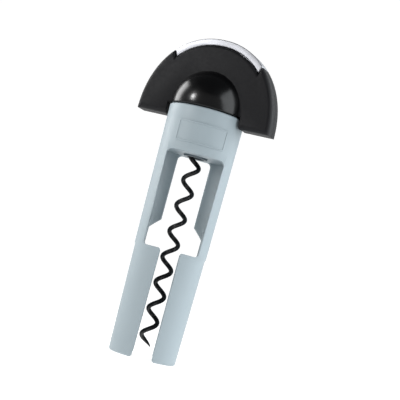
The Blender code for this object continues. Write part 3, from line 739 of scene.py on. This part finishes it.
def seat_end(sizes, inset, seat_inset):
    """Where the strip's seat meets the arch's side: its upper and lower corner, for an outline set in."""
    depth = sizes.strip_depth + GAP
    high_x, low_x = sizes.strip_reach + GAP, sizes.strip_reach - sizes.strip_lean + GAP
    high = Vector((high_x, arch_height(sizes, high_x)))
    low = Vector((low_x, arch_height(sizes, low_x, depth)))
    along = (high - low).normalized()
    out = Vector((along.y, -along.x)) * seat_inset
    ends = []
    margin, halvings = 6 * MM, 40
    for limit in (inset, depth + seat_inset):
        near, far = -margin, (high - low).length + margin
        for _ in range(halvings):
            middle = (near + far) / 2
            point = low + out + along * middle
            near, far = (middle, far) if point.y < arch_height(sizes, point.x, limit) else (near, middle)
        ends.append(low + out + along * near)
    return ends


def plate_ring(sizes, inset, seat_inset, y):
    """The handle's outline, set in by an amount, at a place along its thickness."""
    side_steps, crest_steps = 28, 72
    recess_inset = inset / 5  # the recess beside the tube keeps crisper edges
    high, low = seat_end(sizes, inset, seat_inset)
    half_width = sizes.half_width - inset
    last = math.acos((high.x / half_width) ** (sizes.power / 2))
    side = []
    for i in range(side_steps):
        angle = last * i / side_steps
        x = half_width * math.cos(angle) ** (2 / sizes.power)
        side.append((x, max(arch_height(sizes, x, inset), sizes.bottom + inset)))
    recess = math.sqrt(sizes.recess_radius**2 - y**2) + recess_inset
    roof = FRAME_HIGH.z + 2 * GAP + recess_inset
    right = [(recess, roof), (recess, sizes.bottom + inset)] + side + [tuple(high)]
    crest = [low.x * (1 - 2 * i / crest_steps) for i in range(crest_steps + 1)]
    depth = sizes.strip_depth + GAP + seat_inset
    over = [(x, arch_height(sizes, x, depth)) for x in crest]
    left = [(-x, z) for x, z in reversed(right)]
    return [(x, y, z) for x, z in right + over + left]


def screw_places(sizes):
    """Where the three shell screws are: left, right and top."""
    inboard, lift, below_crest = 0.15 * MM, 6.5 * MM, 10 * MM
    side = (sizes.recess_radius + sizes.half_width) / 2 - inboard
    height = sizes.bottom + lift
    return {
        "left": Vector((-side, 0, height)),
        "right": Vector((side, 0, height)),
        "top": Vector((0, 0, sizes.bottom + sizes.rise - below_crest)),
    }


def plate(sizes, side):
    """Half of the arch's thickness, from the seam out to its rounded face. Side is -1 for the front."""
    form = bmesh.new()
    half, edge, chamfer = sizes.thickness / 2, sizes.edge_round, 0.12 * MM
    seam = sizes.seam / 2
    stations = [(seam, chamfer), (seam + chamfer, 0)]
    steps = 10
    for i in range(steps + 1):
        angle = math.pi / 2 * i / steps
        stations.append((half - edge + edge * math.sin(angle), edge * (1 - math.cos(angle))))
    loops = []
    for distance, inset in stations:
        into_seat = max(distance - half + sizes.seat_round, 0)
        seat_inset = sizes.seat_round - math.sqrt(max(sizes.seat_round**2 - into_seat**2, 0))
        if distance < half / 2:
            seat_inset = inset
        loops.append(loop_of(form, plate_ring(sizes, inset, seat_inset, side * distance)))
    for first, second in zip(loops, loops[1:]):
        bmesh.ops.bridge_loops(form, edges=first + second)
    form.faces.new(ordered(loops[0]))
    if side < 0:
        form.faces.new(ordered(loops[-1]))
    else:
        drill(form, sizes, loops[-1], half)
    tidy(form)
    return form


def ordered(loop):
    """The vertices of a loop made by loop_of, in order."""
    return [edge.verts[1] for edge in loop]


def drill(form, sizes, outline, face):
    """The rear face with a counterbore for each screw."""
    radius, edge = 2.6 * MM, 0.2 * MM
    rims = []
    for place in screw_places(sizes).values():
        circles = []
        for distance, reach in ((face, radius + edge), (face - edge, radius), (face - COUNTERBORE, radius)):
            at = Matrix.Translation(place + Vector((0, distance, 0))) @ Matrix.Rotation(math.pi / 2, 4, "X")
            made = bmesh.ops.create_circle(form, segments=40, radius=reach, matrix=at)
            circles.append(list({e for v in made["verts"] for e in v.link_edges}))
        for first, second in zip(circles, circles[1:]):
            bmesh.ops.bridge_loops(form, edges=first + second)
        bmesh.ops.contextual_create(form, geom=circles[-1])
        rims += circles[0]
    bmesh.ops.triangle_fill(form, use_beauty=True, use_dissolve=False, edges=outline + rims,
                            normal=(0, 1, 0))


def hub(sizes, side):
    """Half of the dome, with the spigot and the hollow core under it."""
    centre = FRAME_HIGH.z + sizes.dome_lift
    base, bottom = FRAME_HIGH.z + GAP, WASHER_HIGH.z + GAP
    dome, spigot = sizes.dome_radius, WASHER_HIGH.x
    wall, core, bore, edge = 2.4 * MM, 9.0 * MM, 2.0 * MM, 0.5 * MM
    bore_top = bottom + 4 * wall
    profile = arc((0, centre), dome, 90, 0, 40)
    profile[0] = (0, centre + dome)
    profile += arc((dome - edge, base + edge), edge, 0, -90, 4)
    profile += [(spigot, base), (spigot, bottom + edge), (spigot - edge, bottom)]
    profile += [(spigot - wall, bottom), (spigot - wall, base - wall), (core, base - wall), (core, bottom)]
    profile += [(bore, bottom), (bore, bore_top), (0, bore_top)]
    form = turned(profile, 128)
    keep_side(form, (0, side * sizes.seam / 2, 0), (0, -side, 0))
    return form


class CORKSCREW_OT_handle(bpy.types.Operator):
    """Front and rear shells of the half-round handle, with the dome between them"""

    bl_idname = "corkscrew.handle"
    bl_label = "Handle shells"

    def execute(self, context):
        sizes, finishes = context.scene.corkscrew_handle, context.scene.corkscrew_finishes
        materials = [eroded_abs(finishes.handle), polished_abs(finishes.dome)]
        for name, side in (("front", -1), ("rear", 1)):
            form = plate(sizes, side)
            dome = hub(sizes, side)
            for face in dome.faces:
                face.material_index = 1
            join(form, dome)
            rotate(form, sizes.turn)
            piece(f"handle_{name}", form, "screw_unit", [f"handle_shell_{name}"],
                  materials)
        return {"FINISHED"}


def along_arch(sizes, reach, depth):
    """Points along the arch, this deep inside it, from left to right."""
    steps = 64
    across = [reach * (2 * i / steps - 1) for i in range(steps + 1)]
    return [(x, arch_height(sizes, x, depth)) for x in across]


def bow(high, low, reach):
    """A bar along the arch, from its upper and lower points and its reach to the front and the rear."""
    form = bmesh.new()
    face = form.faces.new([form.verts.new((x, -reach, z)) for x, z in high + low[::-1]])
    pull(form, face, (0, 2 * reach, 0))
    tidy(form)
    return form


class CORKSCREW_OT_trim(bpy.types.Operator):
    """Steel strip let into the crest of the handle, on a bed of glue"""

    bl_idname = "corkscrew.trim"
    bl_label = "Trim strip"

    def execute(self, context):
        sizes = context.scene.corkscrew_handle
        inner = sizes.strip_reach - sizes.strip_lean
        reach = sizes.thickness / 2 - sizes.seat_round
        top = along_arch(sizes, sizes.strip_reach, 0)
        form = bow(top, along_arch(sizes, inner, sizes.strip_depth), reach)
        round_over(form, [e for e in form.edges if turns(e, 50)], sizes.strip_round, 4)
        clear = 0.03 * MM
        bed_top, bed_bottom = sizes.strip_depth - GAP, sizes.strip_depth + GAP - clear
        bed = bow(along_arch(sizes, inner, bed_top), along_arch(sizes, inner, bed_bottom), reach / 2)
        join(form, bed)
        rotate(form, sizes.turn)
        piece("trim", form, "screw_unit", ["trim_strip"],
              [brushed_steel(context.scene.corkscrew_finishes.steel)])
        return {"FINISHED"}


def screw_form(length):
    """A pan-head screw with a cross recess, along Y, its head's underside at y = 0."""
    head, thick, edge = 2.3 * MM, 1.6 * MM, 0.5 * MM
    shank, tip, tip_length = 1.1 * MM, 0.55 * MM, 1.2 * MM
    profile = [(0, -length), (tip, -length), (shank, tip_length - length), (shank, 0), (head, 0)]
    profile += arc((head - edge, thick - edge), edge, 0, 80, 4)
    form = bmesh.new()
    revolve(form, profile, 48)
    bmesh.ops.remove_doubles(form, verts=form.verts, dist=JOIN)
    rim = [e for e in form.edges if e.is_boundary]
    crown, arm, reach, depth, taper = 0.05 * MM, 0.32 * MM, 1.35 * MM, 0.9 * MM, 0.6
    cross = [(arm, reach), (arm, arm), (reach, arm)]
    for _ in range(3):
        cross += [(y, -x) for x, y in cross[-3:]]
    slot = loop_of(form, [(x, y, thick + crown) for x, y in cross])
    bmesh.ops.bridge_loops(form, edges=rim + slot)
    floor = form.faces.new(ordered(slot))
    deep = pull(form, floor, (0, 0, -depth))
    bmesh.ops.delete(form, geom=[floor], context="FACES_ONLY")
    bmesh.ops.scale(form, verts=deep, vec=(taper, taper, 1))
    tidy(form)
    rotate(form, -math.pi / 2, "X")
    return form


class CORKSCREW_OT_screws(bpy.types.Operator):
    """Three pan-head screws that hold the shells together, from the rear"""

    bl_idname = "corkscrew.screws"
    bl_label = "Shell screws"

    def execute(self, context):
        sizes = context.scene.corkscrew_handle
        steel = plated_steel(context.scene.corkscrew_finishes.zinc)
        seat = sizes.thickness / 2 - COUNTERBORE + GAP / 2
        length = seat + sizes.thickness / 2 - COUNTERBORE
        for name, place in screw_places(sizes).items():
            form = screw_form(length)
            bmesh.ops.translate(form, verts=form.verts, vec=place + Vector((0, seat, 0)))
            rotate(form, sizes.turn)
            piece(f"screw_{name}", form, "screw_unit", [f"shell_screw_{name}"], [steel])
        return {"FINISHED"}


class CORKSCREW_OT_block(bpy.types.Operator):
    """Raw zinc for the hexagonal drive block inside the hub"""

    bl_idname = "corkscrew.block"
    bl_label = "Drive block"

    def execute(self, context):
        block = frame["nodes"]["drive_block"]
        made = cast_zinc()
        for slot in block.material_slots:
            slot.material = made
        return {"FINISHED"}


# Studio


def area_light(name, place, aim, width, height, power, tone):
    """A soft box that faces its aim, hidden from the camera."""
    light = bpy.data.lights.new(name, "AREA")
    light.shape = "RECTANGLE"
    light.size, light.size_y = width, height
    light.energy = power
    light.color = tone
    made = bpy.data.objects.new(name, light)
    bpy.context.scene.collection.objects.link(made)
    made.location = place
    made.rotation_euler = (Vector(aim) - Vector(place)).to_track_quat("-Z", "Y").to_euler()
    made.visible_camera = False
    return made


def fade(tree, source, start, end, low, high):
    """A value that runs smoothly from low to high as its source runs from start to end."""
    made = add_node(tree, "ShaderNodeMapRange", {"Value": source, "From Min": start, "From Max": end,
                                                 "To Min": low, "To Max": high},
                    interpolation_type="SMOOTHSTEP")
    return made.outputs["Result"]


def painted_glow_acrylic(tone):
    """Opal acrylic with a painted glow: emission, bright under and beyond the object, grey at the sides and
    in front.
    """
    made, tree, shader = new_material("acrylic_opal_painted_glow", tone, roughness=0.7)
    # Painted glow: the floor emits light in its own colour, though no lamp is behind it.
    shader.inputs["Emission Color"].default_value = (*tone, 1)
    place = add_node(tree, "ShaderNodeTexCoord")
    split = add_node(tree, "ShaderNodeSeparateXYZ", {"Vector": place.outputs["Object"]})
    across = add_node(tree, "ShaderNodeMath", {0: split.outputs["X"]}, operation="ABSOLUTE")
    # The painted glow's bright strip widens towards the back, by 0.15 m on each side for every metre.
    wedge = add_node(tree, "ShaderNodeMath", {0: split.outputs["Y"], 1: -0.15, 2: across.outputs[0]},
                     operation="MULTIPLY_ADD")
    side = fade(tree, wedge.outputs[0], 0.25, 0.7, 1, 0)
    front = fade(tree, split.outputs["Y"], -0.48, -0.3, 0, 1)
    both = add_node(tree, "ShaderNodeMath", {0: side, 1: front}, operation="MULTIPLY")
    # Painted glow: emission strength 0.9 under and behind the object, falling to 0.2 at the sides and in
    # front.
    glow = add_node(tree, "ShaderNodeMapRange", {"Value": both.outputs[0], "To Min": 0.2, "To Max": 0.9})
    tree.links.new(glow.outputs[0], shader.inputs["Emission Strength"])
    unlit = [channel * 0.3 for channel in tone]
    tint(tree, shader, noise(tree, 0.4), unlit, 0.98, 1.02)
    return made


def backdrop(tone):
    """A round floor that curves up into a wall on every side."""
    reach, high, sweep = 2.0, 1.6, 0.7
    form = bmesh.new()
    revolve(form, [(0, 0)] + arc((reach - sweep, sweep), sweep, -90, 0, 16) + [(reach, high)], 96)
    mesh = bpy.data.meshes.new("backdrop")
    bmesh.ops.recalc_face_normals(form, faces=form.faces)
    form.to_mesh(mesh)
    form.free()
    mesh.shade_smooth()
    mesh.materials.append(painted_glow_acrylic(tone))
    item = bpy.data.objects.new("backdrop", mesh)
    bpy.context.scene.collection.objects.link(item)


def camera():
    """A long lens at the height of the legs, rolled so that the corkscrew leans to the right."""
    distance, height = 0.662, 0.045
    aim = Vector((0.01193, 1, 0.06117)).normalized()
    roll = math.radians(15.1)
    right = aim.cross(Vector((0, 0, 1))).normalized()
    up = right.cross(aim)
    turned_right = right * math.cos(roll) + up * math.sin(roll)
    turned_up = up * math.cos(roll) - right * math.sin(roll)
    lens = bpy.data.cameras.new("camera")
    lens.sensor_width = 36
    lens.lens = 116.2
    lens.clip_start, lens.clip_end = 0.01, 20
    made = bpy.data.objects.new("camera", lens)
    bpy.context.scene.collection.objects.link(made)
    turn = Matrix((turned_right, turned_up, -aim)).transposed().to_4x4()
    made.matrix_world = Matrix.Translation((0, -distance, height)) @ turn
    bpy.context.scene.camera = made


class CORKSCREW_OT_stage(bpy.types.Operator):
    """Round backdrop, a key box, a box at the left edge, a panel on the right and the camera"""

    bl_idname = "corkscrew.stage"
    bl_label = "Studio"

    def execute(self, context):
        camera()
        backdrop(context.scene.corkscrew_finishes.floor)
        target = (0, 0, 0.08)
        white, cool = (1, 1, 1), (0.93, 0.97, 1)
        area_light("key_box", (-0.40, -0.26, 0.28), target, 0.065, 0.1, 1.0, white)
        area_light("left_edge_box", (-0.31, 0.14, 0.22), target, 0.16, 0.26, 0.8, white)
        area_light("right_panel", (0.46, -0.04, 0.32), target, 1.0, 0.62, 4.7, cool)
        world = bpy.data.worlds.new("studio")
        context.scene.world = world
        world.use_nodes = True
        world.node_tree.nodes["Background"].inputs["Color"].default_value = (0.9, 0.95, 1, 1)
        world.node_tree.nodes["Background"].inputs["Strength"].default_value = 0.06
        context.scene.view_settings.view_transform = "Standard"
        return {"FINISHED"}


# Panel and registration


class CORKSCREW_PT_panel(bpy.types.Panel):
    """Lists the pieces and their sizes"""

    bl_idname = "CORKSCREW_PT_panel"
    bl_label = "Corkscrew"
    bl_space_type = "VIEW_3D"
    bl_region_type = "UI"
    bl_category = "Corkscrew"

    def draw(self, context):
        for group, steps in PANEL_ROWS:
            box = self.layout.box()
            settings = getattr(context.scene, group)
            for name in settings.bl_rna.properties.keys():
                if name not in ("rna_type", "name"):
                    box.prop(settings, name)
            for step in steps:
                box.operator(step.bl_idname)


GROUPS = {
    "corkscrew_frame": FrameSizes,
    "corkscrew_worm": WormSizes,
    "corkscrew_handle": HandleSizes,
    "corkscrew_finishes": Finishes,
}
PANEL_ROWS = (
    ("corkscrew_frame", (CORKSCREW_OT_frame, CORKSCREW_OT_bearing)),
    ("corkscrew_worm", (CORKSCREW_OT_worm,)),
    ("corkscrew_handle", (CORKSCREW_OT_handle, CORKSCREW_OT_trim, CORKSCREW_OT_screws, CORKSCREW_OT_block)),
    ("corkscrew_finishes", (CORKSCREW_OT_stage,)),
)
OPERATORS = [step for _, steps in PANEL_ROWS for step in steps]
CLASSES = [*GROUPS.values(), *OPERATORS, CORKSCREW_PT_panel]


def register():
    for item in CLASSES:
        bpy.utils.register_class(item)
    for name, group in GROUPS.items():
        setattr(bpy.types.Scene, name, PointerProperty(type=group))


def unregister():
    for name in GROUPS:
        delattr(bpy.types.Scene, name)
    for item in reversed(CLASSES):
        bpy.utils.unregister_class(item)


def main():
    register()
    for step in OPERATORS:
        space, name = step.bl_idname.split(".")
        getattr(getattr(bpy.ops, space), name)()


if __name__ == "__main__":
    main()
